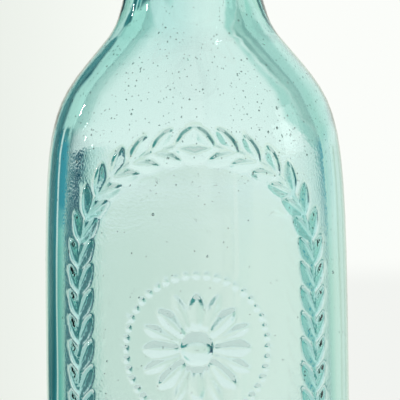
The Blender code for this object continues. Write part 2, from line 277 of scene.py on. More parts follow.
def smooth_outline(outline, step):
    """Points about every step along a smooth curve through an outline's points."""
    filled = [outline[0]]
    for start, end in zip(outline[:-1], outline[1:]):
        pieces = max(1, int(np.linalg.norm(end - start) / (4 * step)))
        filled += [start + (end - start) * share / pieces for share in range(1, pieces + 1)]
    points = np.array(filled)
    spans = np.linalg.norm(np.diff(points, axis=0), axis=1)
    slopes = np.diff(points, axis=0) / spans[:, None]
    weights = spans[1:, None] / (spans[:-1] + spans[1:])[:, None]
    ways = np.vstack([slopes[:1], weights * slopes[:-1] + (1 - weights) * slopes[1:], slopes[-1:]])
    smooth = []
    for index, span in enumerate(spans):
        shares = np.arange(0, 1, min(1, step / span))[:, None]
        start_part = (1 + 2 * shares) * (1 - shares) ** 2 * points[index]
        end_part = shares ** 2 * (3 - 2 * shares) * points[index + 1]
        start_way = shares * (1 - shares) ** 2 * ways[index] * span
        end_way = shares ** 2 * (shares - 1) * ways[index + 1] * span
        smooth.append(start_part + end_part + start_way + end_way)
    return np.vstack(smooth + [points[-1:]])


def spaced(outline, gaps):
    """The same outline with points as far apart as gaps says at each place."""
    spans = np.linalg.norm(np.diff(outline, axis=0), axis=1)
    counts = np.concatenate([[0], np.cumsum(spans / gaps[1:])])
    wanted = np.linspace(0, counts[-1], int(counts[-1]) + 1)
    return np.column_stack([np.interp(wanted, counts, outline[:, axis]) for axis in (0, 1)])


cad_points = cad_outline("bottle", 1, 0)
bottle_outline = smooth_outline(cad_points, 0.2 * MM)
bottle_outline[:, 1] = bottle_outline[:, 1].clip(0)
print("bottle outline:", len(cad_points), "points in the model,", len(bottle_outline), "when smooth")

# %% [markdown]
# ## A wall that changes evenly
# The outline runs from the middle of the bottle's floor up the inner wall, over the lip and down outside.
# From the upper body to the neck the model's wall gets thicker and thinner from facet to facet, and light
# that crosses two walls shows each change as a dark hook. So the inner line is set anew there: the wall's
# thickness is measured at a few heights and runs evenly between them, and a mean over a few millimetres
# takes the corners off. The foot of the neck gets a little more glass, as blown necks have.

# %% Even out the inner wall
HEEL_LEVEL = 12 * MM
NECK_LEVEL = 160 * MM
WALL_LEVELS = [104 * MM, 113 * MM, 130 * MM, 144 * MM, 167 * MM, 170 * MM]
WALL_EXTRA = [0, 0, 0, 0.6 * MM, 0, 0]
MEAN_OVER = np.arange(-3, 4) * MM

levels = bottle_outline[:, 1]
lip_index = int(np.argmax(levels))
is_inner = np.arange(len(levels)) < lip_index
outer_curve = bottle_outline[lip_index:][::-1]
outer_curve = outer_curve[np.argmax(outer_curve[:, 0] > 0.99 * outer_curve[:, 0].max()):]


def outer_radius(level):
    """The bottle's outside radius at a height between the heel and the blob."""
    return float(np.interp(level, outer_curve[:, 1], outer_curve[:, 0]))


inside = is_inner & (levels > WALL_LEVELS[0]) & (levels < WALL_LEVELS[-1])
inner_curve = bottle_outline[inside]
inner_curve = inner_curve[np.argsort(inner_curve[:, 1])]
walls = [outer_radius(one) - np.interp(one, inner_curve[:, 1], inner_curve[:, 0]) for one in WALL_LEVELS]
walls = np.add(walls, WALL_EXTRA)
walls[1], walls[-2] = walls[0], walls[-1]
for index in np.flatnonzero(inside):
    thickness = np.interp(levels[index] + MEAN_OVER, WALL_LEVELS, walls).mean()
    bottle_outline[index, 0] = outer_radius(levels[index]) - thickness
print("wall, mm:", [round(wall / MM, 2) for wall in walls])

# %% [markdown]
# ## Spinning the shell
# The glass has to be one closed skin, outside and inside, because light bends at both. The outline is spun
# into a mesh with 128 columns, smooth enough for plain glass. Its rows lie close at the lip and the heel,
# where the outline curves most, and far apart on the plain inner wall.

# %% Turn the shell
BOTTLE_COLUMNS = 128
WALL_ROW = 1.6 * MM
LIP_ROW = 0.9 * MM
INNER_ROW = 2.6 * MM


def spin_outline(outline, columns):
    """Turn an outline of radius and height round Z, with one vertex at each pole."""
    shape = bmesh.new()
    verts = [shape.verts.new((radius, 0, level)) for radius, level in outline]
    edges = [shape.edges.new(pair) for pair in zip(verts, verts[1:])]
    bmesh.ops.spin(shape, geom=verts + edges, cent=(0, 0, 0), axis=(0, 0, 1), angle=2 * pi,
                   steps=columns, use_merge=True)
    bmesh.ops.remove_doubles(shape, verts=shape.verts, dist=MERGE)
    bmesh.ops.recalc_face_normals(shape, faces=shape.faces)
    return shape


gaps = np.where((levels > NECK_LEVEL) | (levels < HEEL_LEVEL), LIP_ROW, WALL_ROW)
gaps[is_inner & (levels > HEEL_LEVEL * 2) & (levels < NECK_LEVEL)] = INNER_ROW
shell = spin_outline(spaced(bottle_outline, gaps), BOTTLE_COLUMNS)
print("plain shell:", len(shell.faces), "faces")

# %% [markdown]
# ## Where the raised work lies
# The front carries two branches that rise at the sides and meet in an arch, with a rosette between them.
# They are laid out on a flat sheet that wraps round the body: X is the way round from the front and Y the
# height. These sizes serve twice, here to find the faces under the ornament and later to draw it.

# %% Lay out the front panel
BODY_RADIUS = 33 * MM
ARCH_HALF_WIDTH = 28.2 * MM
ARCH_RISE = 24.9 * MM
ARCH_SPRING = 84.6 * MM
BRANCH_FOOT = 41 * MM
ROSETTE_LEVEL = 67 * MM
BEAD_RING = 15.6 * MM
ORNAMENT_MARGIN = 5.6 * MM
ROSETTE_MARGIN = 2 * MM
FOOT_MARGIN = 4 * MM


def near_ornament(place):
    """Whether a point of the body lies close to the branches or inside the ring of beads."""
    across, level = atan2(place.x, -place.y) * BODY_RADIUS, place.z
    if across ** 2 + (level - ROSETTE_LEVEL) ** 2 < (BEAD_RING + ROSETTE_MARGIN) ** 2:
        return True
    if level < ARCH_SPRING:
        return abs(abs(across) - ARCH_HALF_WIDTH) < ORNAMENT_MARGIN and level > BRANCH_FOOT - FOOT_MARGIN
    swing = sqrt((across / ARCH_HALF_WIDTH) ** 2 + ((level - ARCH_SPRING) / ARCH_RISE) ** 2)
    return abs(swing - 1) * ARCH_RISE < ORNAMENT_MARGIN


def is_outside(place):
    """Whether a point of the shell lies on its outer skin."""
    return HEEL_LEVEL < place.z < NECK_LEVEL and sqrt(place.x ** 2 + place.y ** 2) > outer_radius(place.z) - MM


def in_panel(place):
    """Whether a point lies on the outer skin and close to the ornament."""
    return place.y < 0 and near_ornament(place) and is_outside(place)


print("ornament reaches from", BRANCH_FOOT, "to", ARCH_SPRING + ARCH_RISE)

# %% [markdown]
# ## Fine faces only where they are needed
# Raised work needs far smaller faces than plain glass, and fine faces everywhere would cost ten times as
# many. So only the faces under the ornament are cut, and the new points move out onto the round wall.
# Blender may number cut faces differently from run to run, and the air bubbles are sown face by face. So
# the mesh is built again with its points sorted by place. An attribute marks the points that lie outside.

# %% Refine the panel and number the shell
PANEL_CUTS = 4


def column_place(vert):
    """Where a point of the shell stands: its fine column, its height and its radius."""
    fine = BOTTLE_COLUMNS * (PANEL_CUTS + 1)
    column = round(atan2(vert.co.y, vert.co.x) * fine / (2 * pi)) % fine
    return column, vert.co.z, vert.co.xy.length


def put_in_order(shape):
    """Number the points and faces of the shell in a way that is the same in every run."""
    for index, vert in enumerate(sorted(shape.verts, key=column_place)):
        vert.index = index
    points = [tuple(vert.co) for vert in sorted(shape.verts, key=lambda vert: vert.index)]
    faces = []
    for face in shape.faces:
        corners = [vert.index for vert in face.verts]
        first = corners.index(min(corners))
        faces.append(corners[first:] + corners[:first])
    ordered = bmesh.new()
    verts = [ordered.verts.new(point) for point in points]
    for corners in sorted(faces):
        ordered.faces.new([verts[corner] for corner in corners])
    shape.free()
    return ordered


def as_object(name, shape):
    """Put a bmesh into a new smooth object in the scene."""
    mesh = bpy.data.meshes.new(name)
    shape.to_mesh(mesh)
    shape.free()
    mesh.shade_smooth()
    made = bpy.data.objects.new(name, mesh)
    bpy.context.scene.collection.objects.link(made)
    return made


panel_edges = [edge for edge in shell.edges if all(in_panel(vert.co) for vert in edge.verts)]
bmesh.ops.subdivide_edges(shell, edges=panel_edges, cuts=PANEL_CUTS, use_grid_fill=True)
for vert in shell.verts:
    if in_panel(vert.co):
        flat = Vector((vert.co.x, vert.co.y, 0))
        vert.co = flat.normalized() * outer_radius(vert.co.z) + Vector((0, 0, vert.co.z))
bottle = as_object("bottle_glass", put_in_order(shell))
outside = bottle.data.attributes.new("outside", "FLOAT", "POINT")
outside.data.foreach_set("value", [float(is_outside(vert.co)) for vert in bottle.data.vertices])
print("shell:", len(bottle.data.vertices), "vertices,", len(bottle.data.polygons), "faces")

# %% [markdown]
# ## Running Geometry Nodes once
# Each tree below is built here, run once on an object, and turned into a plain mesh. Its sizes are named
# inputs, so the tree says how, and the call says how big. Inputs are set by the socket's identifier,
# because a modifier doesn't know them by name.

# %% Define trees with named inputs


def new_tree(name, inputs):
    """A Geometry Nodes tree with one geometry in and out, and named inputs of the given kinds."""
    tree = bpy.data.node_groups.new(name, "GeometryNodeTree")
    graph = Graph(tree)
    tree.interface.new_socket("Geometry", in_out="INPUT", socket_type="NodeSocketGeometry")
    tree.interface.new_socket("Geometry", in_out="OUTPUT", socket_type="NodeSocketGeometry")
    for title, kind in inputs.items():
        tree.interface.new_socket(title, in_out="INPUT", socket_type="NodeSocket" + kind)
    source = tree.nodes.new("NodeGroupInput")
    given = {socket.name: Socket(graph, socket) for socket in source.outputs if socket.name}
    return graph, given


def close_tree(graph, geometry, finish):
    """End a tree with real geometry in one material."""
    real = graph.node("GeometryNodeRealizeInstances", {"Geometry": geometry})
    painted = graph.node("GeometryNodeSetMaterial", {"Geometry": real, "Material": finish})
    output = graph.tree.nodes.new("NodeGroupOutput")
    graph.feed(output.inputs["Geometry"], painted)
    return graph.tree


def apply_modifier(host, modifier):
    """Replace the host's mesh by what the modifier makes of it."""
    host.update_tag()
    evaluated = host.evaluated_get(bpy.context.evaluated_depsgraph_get())
    mesh = bpy.data.meshes.new_from_object(evaluated)
    host.modifiers.remove(modifier)
    host.data = mesh


def run_tree(host, tree, values):
    """Replace the host's mesh by what the tree makes of it."""
    modifier = host.modifiers.new(tree.name, "NODES")
    modifier.node_group = tree
    for item in tree.interface.items_tree:
        if item.in_out == "INPUT" and item.name in values:
            modifier[item.identifier] = values[item.name]
    apply_modifier(host, modifier)
    return host


def finish_named(name):
    """A new empty material and the graph to fill it."""
    made = bpy.data.materials.new(name)
    made.use_nodes = True
    return made, Graph(made.node_tree)


glass, glass_graph = finish_named("aqua_glass")
print("tree helpers ready, first material:", glass.name)

# %% [markdown]
# ## The raised panel
# Bottles like this carry raised work from the mould. This one gets a plain traditional ornament: two
# laurel branches that rise from the sides and meet in an arch, round a rosette with a ring of beads. It is
# first laid out flat, as an engraver would cut it, with X round the bottle and Y up. A leaf is one small
# sheet of two sloping faces that meet in a ridge.

# %% Make the leaf and the petals
LEAF_ROWS = 12
LEAF_COLUMNS = 8
LEAF_BELLY = 0.85
RIDGE_SHARPNESS = 1.25


def leaf_object(name, length, width, height):
    """A leaf along X from its stalk at the origin, cut as two sloping faces that meet in a ridge."""
    shape = bmesh.new()
    rows = []
    for row in range(LEAF_ROWS + 1):
        along = row / LEAF_ROWS
        swell = sin(pi * along ** LEAF_BELLY)
        half = width / 2 * swell
        rise = height * min(1, 2 * swell)
        verts = []
        for column in range(LEAF_COLUMNS + 1):
            across = 2 * column / LEAF_COLUMNS - 1
            verts.append(shape.verts.new((length * along, half * across,
                                          rise * (1 - abs(across) ** RIDGE_SHARPNESS))))
        rows.append(verts)
    for low, high in zip(rows, rows[1:]):
        for column in range(LEAF_COLUMNS):
            shape.faces.new((low[column], high[column], high[column + 1], low[column + 1]))
    return as_object(name, shape)


leaf = leaf_object("laurel_leaf", length=7.6 * MM, width=3.5 * MM, height=0.66 * MM)
petal = leaf_object("rosette_petal", length=8.6 * MM, width=4.8 * MM, height=0.55 * MM)
petal_back = leaf_object("rosette_back_petal", length=9.6 * MM, width=3.4 * MM, height=0.35 * MM)
print("leaf:", len(leaf.data.polygons), "faces")

# %% [markdown]
# ## Two branches
# A branch rises straight at the side and bends over in a quarter of an ellipse that ends short of the
# middle. One curve object holds both, as lines for the leaves to follow.

# %% Draw the two branches
BRANCH_TIP_ANGLE = radians(81)
BRANCH_STEPS = 60


def branch_points(side):
    """One branch, laid flat: straight up one side, then over in a quarter of an ellipse."""
    turns = [BRANCH_TIP_ANGLE * step / BRANCH_STEPS for step in range(BRANCH_STEPS + 1)]
    arch = [(side * ARCH_HALF_WIDTH * cos(turn), ARCH_SPRING + ARCH_RISE * sin(turn)) for turn in turns]
    return [(side * ARCH_HALF_WIDTH, BRANCH_FOOT)] + arch


branch_curve = bpy.data.curves.new("laurel_branches", "CURVE")
branch_curve.dimensions = "3D"
for side in (-1, 1):
    path = branch_points(side)
    spline = branch_curve.splines.new("POLY")
    spline.points.add(len(path) - 1)
    for point, (x, y) in zip(spline.points, path):
        point.co = (x, y, 0, 1)
branches = bpy.data.objects.new("laurel_branches", branch_curve)
bpy.context.scene.collection.objects.link(branches)
print("branches:", len(branch_curve.splines))

# %% [markdown]
# ## The ornament, laid flat
# One tree makes the whole sheet. At every step along a branch it sets a leaf to each side, and it runs a
# round stem below them. Petals and beads stand on circles. All are instances, which weigh next to nothing
# until the last nodes make them real.

# %% Lay the ornament out flat
STEM_RADIUS = 0.42 * MM
STEM_SIDES = 8


def object_shape(graph, thing):
    """An object's geometry, as a node's output."""
    return graph.node("GeometryNodeObjectInfo", {"Object": thing}, "Geometry")


def aligned(graph, way):
    """The turn in the flat that brings X along way."""
    return graph.node("FunctionNodeAlignRotationToVector", {"Vector": way}, axis="X", pivot_axis="Z")


def turned_by(graph, rotation, angle):
    """A rotation with a further turn in the flat."""
    extra = graph.node("FunctionNodeEulerToRotation", {"Euler": graph.vector(0, 0, angle)})
    both = {"Rotation": rotation, "Rotate By": extra}
    return graph.node("FunctionNodeRotateRotation", both, rotation_space="LOCAL")


def ring_of(graph, motif, count, radius, turn, centre):
    """Copies of a motif on a circle, each pointing outwards."""
    circle = graph.node("GeometryNodeMeshCircle", {"Vertices": count, "Radius": radius}, fill_type="NONE")
    rotation = aligned(graph, graph.node("GeometryNodeInputPosition"))
    copies = graph.node("GeometryNodeInstanceOnPoints", {
        "Points": circle, "Instance": motif, "Rotation": rotation})
    place = {"Geometry": copies, "Translation": centre, "Rotation": graph.vector(0, 0, turn)}
    return graph.node("GeometryNodeTransform", place)


def low_ball(graph, radius, sides, rings, squash):
    """A ball pressed flat."""
    inputs = {"Segments": sides, "Rings": rings, "Radius": radius}
    ball = graph.node("GeometryNodeMeshUVSphere", inputs, "Mesh")
    return graph.node("GeometryNodeTransform", {"Geometry": ball, "Scale": (1, 1, squash)})


graph, given = new_tree("flat_ornament", {
    "Branches": "Object", "Leaf": "Object", "Petal": "Object", "Back Petal": "Object",
    "Leaf Pitch": "Float", "Leaf Lean": "Float", "Stem Radius": "Float", "Rosette Centre": "Vector",
    "Petals": "Int", "Beads": "Int", "Boss Radius": "Float", "Bead Ring": "Float", "Bead Radius": "Float"})
paths = object_shape(graph, given["Branches"])
stations = graph.node("GeometryNodeResampleCurve", {
    "Curve": paths, "Length": given["Leaf Pitch"]}, mode="LENGTH")
ahead = aligned(graph, graph.node("GeometryNodeInputTangent"))
parts = []
for side in (-1, 1):
    lean = turned_by(graph, ahead, given["Leaf Lean"] * side)
    parts.append(graph.node("GeometryNodeInstanceOnPoints", {
        "Points": stations, "Rotation": lean,
        "Instance": object_shape(graph, given["Leaf"])}))
round_stem = graph.node("GeometryNodeCurvePrimitiveCircle", {
    "Resolution": STEM_SIDES, "Radius": given["Stem Radius"]})
parts.append(graph.node("GeometryNodeCurveToMesh", {"Curve": paths, "Profile Curve": round_stem}))
boss = low_ball(graph, given["Boss Radius"], 24, 12, 0.3)
centre = given["Rosette Centre"]
parts.append(graph.node("GeometryNodeTransform", {"Geometry": boss, "Translation": centre}))
for motif, count, radius, turn in (
        (object_shape(graph, given["Petal"]), given["Petals"], given["Boss Radius"], 0),
        (object_shape(graph, given["Back Petal"]), given["Petals"], given["Boss Radius"], pi / given["Petals"]),
        (low_ball(graph, given["Bead Radius"], 10, 6, 0.6), given["Beads"], given["Bead Ring"], 0)):
    parts.append(ring_of(graph, motif, count, radius, turn, centre))
ornament_tree = close_tree(graph, graph.node("GeometryNodeJoinGeometry", {"Geometry": parts}), glass)

ornament = run_tree(as_object("flat_ornament", bmesh.new()), ornament_tree, {
    "Branches": branches, "Leaf": leaf, "Petal": petal, "Back Petal": petal_back,
    "Leaf Pitch": 5.2 * MM, "Leaf Lean": radians(31), "Stem Radius": STEM_RADIUS,
    "Rosette Centre": (0, ROSETTE_LEVEL, 0), "Petals": 8, "Beads": 44, "Boss Radius": 3.4 * MM,
    "Bead Ring": BEAD_RING, "Bead Radius": 0.62 * MM})
print("ornament:", len(ornament.data.polygons), "faces, laid flat")

# %% [markdown]
# ## Pressing the panel
# A real mould presses the ornament into soft glass. Here each point of the shell looks down on the flat
# ornament at its own place, unrolled, and rises by the height that its ray meets. The height is kept as an
# attribute, because the glass material paints shade on the raised leaves at the sides of the panel. The
# inside of a blown bottle never touches the mould, so it is wavy, and slow noise moves it in and out.

# %% Press the ornament and ripple the walls
RAY_START = 0.01

graph, given = new_tree("blown_glass", {
    "Ornament": "Object", "Unroll Radius": "Float", "Softening": "Int", "Inner Ripple": "Float",
    "Outer Ripple": "Float", "Ripple Length": "Float", "Draw": "Float", "Ripple Foot": "Float",
    "Ripple Top": "Float", "Shallow": "Float", "Deep": "Float", "Random Seed": "Int",
    "Crowd Level": "Float", "Fine Seeds": "Float", "Fine Size": "Float", "Large Seeds": "Float",
    "Large Size": "Float"})
position = graph.node("GeometryNodeInputPosition")
normal = graph.node("GeometryNodeInputNormal", output="Normal")
outer = graph.node("GeometryNodeInputNamedAttribute", {"Name": "outside"}, "Attribute", data_type="FLOAT")
x, y, z = graph.parts(position)
round_the_bottle = graph.math("ARCTAN2", x, 0 - y) * given["Unroll Radius"]
met = graph.node("GeometryNodeRaycast", {
    "Target Geometry": object_shape(graph, given["Ornament"]),
    "Source Position": graph.vector(round_the_bottle, z, RAY_START),
    "Ray Direction": (0, 0, -1), "Ray Length": 2 * RAY_START}, "Hit Position")
height = graph.node("GeometryNodeBlurAttribute", {
    "Value": graph.parts(met)[2] * outer, "Iterations": given["Softening"]}, data_type="FLOAT")
drawn = graph.vector(x, y, z * given["Draw"])
ripple = graph.noise(graph.scaled(drawn, 1 / given["Ripple Length"]), 1.0, 1.5) - 0.5
calm = graph.smooth(z, given["Ripple Foot"], given["Ripple Foot"] * 2)
calm = calm * graph.smooth(z, given["Ripple Top"], given["Ripple Top"] * 0.9)
strength = given["Inner Ripple"] + (given["Outer Ripple"] - given["Inner Ripple"]) * outer
marked = graph.node("GeometryNodeStoreNamedAttribute", {
    "Geometry": given["Geometry"], "Name": "relief", "Value": height}, data_type="FLOAT", domain="POINT")
pressed = graph.node("GeometryNodeSetPosition", {
    "Geometry": marked,
    "Offset": graph.scaled(normal, height + ripple * strength * calm)})
print("pressing:", len(graph.tree.nodes), "nodes")

# %% [markdown]
# ## Sowing the seeds
# Glassmakers call small air bubbles seeds. Each is a closed skin that faces the air it holds, so a ball
# turned inside out. They are scattered on the outer wall and pushed in by a random depth. Most are tiny, a
# few are large, blowing has drawn them taller than wide, and they crowd in the shoulder.

# %% Sow the seeds
wall = outer * graph.math("GREATER_THAN", z, given["Ripple Foot"])
crowding = graph.smooth(graph.noise(position, 30.0), 0.4, 0.65, 0.6, 1.3)
crowding = crowding * graph.smooth(z, given["Crowd Level"] * 0.8, given["Crowd Level"], 0.2, 1.0)


def chance(offset):
    """A random number from 0 to 1 for each seed."""
    return graph.node("FunctionNodeRandomValue", {
        "Seed": given["Random Seed"] + offset}, "Value", data_type="FLOAT")


def seeds(density, size, roundness, offset):
    """Air bubbles in the wall: density for each square metre, up to twice as wide and as long as size."""
    sown = graph.node("GeometryNodeDistributePointsOnFaces", {
        "Mesh": pressed, "Selection": wall, "Seed": given["Random Seed"] + offset,
        "Density": density * crowding}, "Points")
    depth = given["Shallow"] + (given["Deep"] - given["Shallow"]) * chance(offset)
    sunk = graph.node("GeometryNodeSetPosition", {
        "Geometry": sown, "Offset": graph.scaled(sown.beside("Normal"), 0 - depth)})
    width = size * (1 + chance(offset + 1) ** 4)
    tall = width * (1 + chance(offset + 2) ** 3 * 0.5)
    bubble = graph.node("GeometryNodeMeshIcoSphere", {"Radius": 1.0, "Subdivisions": roundness}, "Mesh")
    return graph.node("GeometryNodeInstanceOnPoints", {
        "Points": sunk, "Instance": bubble, "Scale": graph.vector(width, width, tall)})


bubbles = graph.node("GeometryNodeJoinGeometry", {"Geometry": [
    seeds(given["Fine Seeds"], given["Fine Size"], 1, 10),
    seeds(given["Large Seeds"], given["Large Size"], 2, 20)]})
bubbles = graph.node("GeometryNodeFlipFaces", {
    "Mesh": graph.node("GeometryNodeRealizeInstances", {"Geometry": bubbles})})
blown = graph.node("GeometryNodeJoinGeometry", {"Geometry": [pressed, bubbles]})
smooth = graph.node("GeometryNodeSetShadeSmooth", {"Geometry": blown})
blown_tree = close_tree(graph, smooth, glass)
print("blown glass tree:", len(blown_tree.nodes), "nodes")

# %% [markdown]
# ## Blowing the bottle
# The tree runs once, with its sizes in millimetres and a fixed random seed, so that the bottle comes out
# the same each time. The flat helpers have then done their work and are removed.

# %% Blow the bottle
bottle = run_tree(bottle, blown_tree, {
    "Ornament": ornament, "Unroll Radius": BODY_RADIUS, "Softening": 2, "Inner Ripple": 0.35 * MM,
    "Outer Ripple": 0.08 * MM, "Ripple Length": 20 * MM, "Draw": 0.3, "Ripple Foot": 8 * MM,
    "Ripple Top": 165 * MM, "Shallow": 0.8 * MM, "Deep": 3.0 * MM, "Random Seed": 5,
    "Crowd Level": 115 * MM, "Fine Seeds": 120000.0, "Fine Size": 0.115 * MM, "Large Seeds": 2200.0,
    "Large Size": 0.26 * MM})
triangles = sum(len(face.vertices) - 2 for face in bottle.data.polygons)
print("bottle:", len(bottle.data.vertices), "vertices,", triangles, "triangles")
for helper in (ornament, branches, leaf, petal, petal_back):
    bpy.data.objects.remove(helper)

# %% [markdown]
# ## Aqua glass
# Clear glass bends light by its refractive index and takes light away as it passes through, more red than
# green or blue. So the tint is not painted on: it is an absorption in the volume, and thick places come
# out deeper by themselves. The numbers come from the photograph's middle, where light crosses two walls.
# A few places differ. The raised leaves beside the panel and the left of the neck get a darker surface
# colour, which is painted shade, and the inner skin at the front is grainy, which a very shallow bump gives.

# %% Fill the glass material
WALLS_CROSSED = 7.6 * MM
SEEN_THROUGH_WALLS = (0.75, 0.93, 0.885)
ABSORPTION = 45.0
CLEAR = (1, 1, 1, 1)
# painted shade on the left of the neck: its colour, the heights it spans and its sideways edge
NECK_PAINTED_SHADE = (0.90, 0.96, 0.965, 1)
NECK_SHADE_UP = (126 * MM, 138 * MM)
NECK_SHADE_LEFT = (4 * MM, -6 * MM)
# painted shade on the raised leaves at the sides of the panel: its colour, the relief heights and the span
# beside the panel
SIDE_LEAF_PAINTED_SHADE = (0.45, 0.80, 0.80, 1)
RAISED_BY = (0.04 * MM, 0.2 * MM)
BESIDE_PANEL = (17 * MM, 23 * MM)
GRAIN_DOWN = (118 * MM, 104 * MM)
GRAIN_FORWARD = (-11 * MM, -13 * MM)
GRAINS_PER_METRE = 1900.0
GRAIN_DEPTH = 0.018 * MM

loss = [-float(np.log(share)) / WALLS_CROSSED for share in SEEN_THROUGH_WALLS]
tint = tuple(1 - one / ABSORPTION for one in loss) + (1,)
place = glass_graph.place()
across, forward, level = glass_graph.parts(place)
outside = glass_graph.node("ShaderNodeAttribute", output="Fac", attribute_name="outside")
relief = glass_graph.node("ShaderNodeAttribute", output="Fac", attribute_name="relief")
# painted shade: the surface colour is darker on the left of the neck
painted_neck_shade = glass_graph.smooth(level, *NECK_SHADE_UP) * glass_graph.smooth(across, *NECK_SHADE_LEFT)
# painted shade: the raised leaves at the sides of the panel get a darker surface colour
painted_leaf_shade = glass_graph.smooth(relief, *RAISED_BY)
painted_leaf_shade = painted_leaf_shade * glass_graph.smooth(glass_graph.math("ABSOLUTE", across), *BESIDE_PANEL)
# the clear surface colour with both patches of painted shade mixed in
clearness_and_painted_shade = glass_graph.mix(painted_neck_shade, CLEAR, NECK_PAINTED_SHADE)
clearness_and_painted_shade = glass_graph.mix(painted_leaf_shade, clearness_and_painted_shade, SIDE_LEAF_PAINTED_SHADE)
grainy = glass_graph.smooth(level, *GRAIN_DOWN) * glass_graph.smooth(forward, *GRAIN_FORWARD)
grain = glass_graph.noise(place, GRAINS_PER_METRE, 0.0) * grainy * (1 - outside)
volume = glass_graph.node("ShaderNodeVolumeAbsorption", {"Color": tint, "Density": ABSORPTION})
glass_graph.surface({"Base Color": clearness_and_painted_shade, "Roughness": 0.0, "IOR": 1.5, "Transmission Weight": 1.0,
                     "Normal": glass_graph.bump(1.0, GRAIN_DEPTH, grain)}, volume)
print("glass tint", tuple(round(one, 3) for one in tint))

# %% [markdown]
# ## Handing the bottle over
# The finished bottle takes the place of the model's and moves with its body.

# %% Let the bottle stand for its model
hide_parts("bottle")
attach(bottle, "bottle")
print(bottle.name, "stands for bottle")

# %% [markdown]
# ## The bent wires
# The closure is three lengths of tinned iron wire, bent on a jig. The tie wire goes round the neck and
# coils into an eye at each side, the lever's ends turn in those eyes, and the bail's ends turn in the
# lever's. The model's wires have eight sides. A Subdivision Surface rounds them, but it also draws an
# eight-sided wire in, so each point is moved out again along its normal.

# %% Round the wires
WIRE_RADIUS = 1.0 * MM
WIRE_SIDES = 8
DRAWN_IN = WIRE_RADIUS * (1 - cos(2 * pi / WIRE_SIDES)) / 3


def rounded_wire(node):
    """A smooth round copy of one of the model's wires."""
    shape = cad_copy(node)
    bmesh.ops.join_triangles(shape, faces=shape.faces, angle_face_threshold=radians(40),
                             angle_shape_threshold=radians(60))
    wire = as_object(node + "_round", shape)
    modifier = wire.modifiers.new("rounding", "SUBSURF")
    modifier.levels = modifier.render_levels = 2
    apply_modifier(wire, modifier)
    shape = bmesh.new()
    shape.from_mesh(wire.data)
    shape.normal_update()
    for vert in shape.verts:
        vert.co += vert.normal * DRAWN_IN
    shape.to_mesh(wire.data)
    shape.free()
    wire.data.shade_smooth()
    return wire


wires = {node: rounded_wire(node) for node in ("neck_tie_wire", "lever_wire", "bail_wire")}
for node, wire in wires.items():
    print(node, len(wire.data.polygons), "faces")

# %% [markdown]
# ## Tinned wire
# New wire is bright with tin. On an old closure the tin has gone dull grey, and rust has come through
# where the wires rub and where water stands: in the eyes. So the rust follows two things, the distance
# from each turning axis and a blotchy noise.

# %% Fill the wire material
LEVER_AXIS = (0.0 * MM, 174.35 * MM)
BAIL_AXIS = (0.8 * MM, 165.35 * MM)

tinned, graph = finish_named("tinned_wire")
place = graph.place()
x, y, z = graph.parts(place)


def from_axis(axis):
    """Distance from a line along X, given by its Y and Z."""
    return ((y - axis[0]) ** 2 + (z - axis[1]) ** 2) ** 0.5


nearest = graph.math("MINIMUM", from_axis(LEVER_AXIS), from_axis(BAIL_AXIS))
worn = graph.smooth(nearest, 9 * MM, 2 * MM)
blotches = graph.noise(place, 420.0, 4.0, 0.6)
rust = graph.smooth(blotches + worn * 0.22, 0.60, 0.74)
grain = graph.noise(place, 2600.0, 3.0)
dull_tin = graph.mix(graph.smooth(grain, 0.3, 0.7), (0.46, 0.45, 0.42, 1), (0.60, 0.59, 0.55, 1))
rusty = graph.mix(grain, (0.10, 0.035, 0.014, 1), (0.33, 0.13, 0.045, 1))
graph.surface({"Base Color": graph.mix(rust, dull_tin, rusty), "Metallic": 1 - rust * 0.9,
               "Roughness": 0.34 + rust * 0.5 + grain * 0.12,
               "Normal": graph.bump(0.5, 0.06 * MM, grain + rust)})

for node, body in (("neck_tie_wire", "bottle"), ("lever_wire", "lever"), ("bail_wire", "bail")):
    wires[node].data.materials.clear()
    wires[node].data.materials.append(tinned)
    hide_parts(node)
    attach(wires[node], body)
    print(wires[node].name, "stands for", node)

# %% [markdown]
# ## The porcelain head and its rubber ring
# The head is moulded porcelain: a dome to press on, a hole across it for the bail, and below it a spigot
# with a knob that holds the rubber ring. Both are turned from the model's own outlines. The hole's
# mouths are flared, as the potter's reamer left them, so the wire doesn't chip the glaze.

# %% Turn the head and the ring
HEAD_COLUMNS = 96
HEAD_ROW = 0.42 * MM
HOLE_LEVEL = 206.25 * MM
HOLE_RADIUS = 1.35 * MM
HOLE_MOUTH = 1.9 * MM
HOLE_MOUTH_START = 10.9 * MM
HOLE_END = 13 * MM
RING_CORNER = 0.5 * MM
CORNER_STEPS = 4


def rounded_corners(outline, radius):
    """A closed outline with each corner replaced by a short curve."""
    points = []
    for before, corner, after in zip(np.roll(outline, 1, axis=0), outline, np.roll(outline, -1, axis=0)):
        start = corner + (before - corner) * min(0.45, radius / np.linalg.norm(before - corner))
        end = corner + (after - corner) * min(0.45, radius / np.linalg.norm(after - corner))
        for step in range(CORNER_STEPS + 1):
            share = step / CORNER_STEPS
            points.append(start * (1 - share) ** 2 + corner * 2 * share * (1 - share) + end * share ** 2)
    return np.array(points + points[:1])


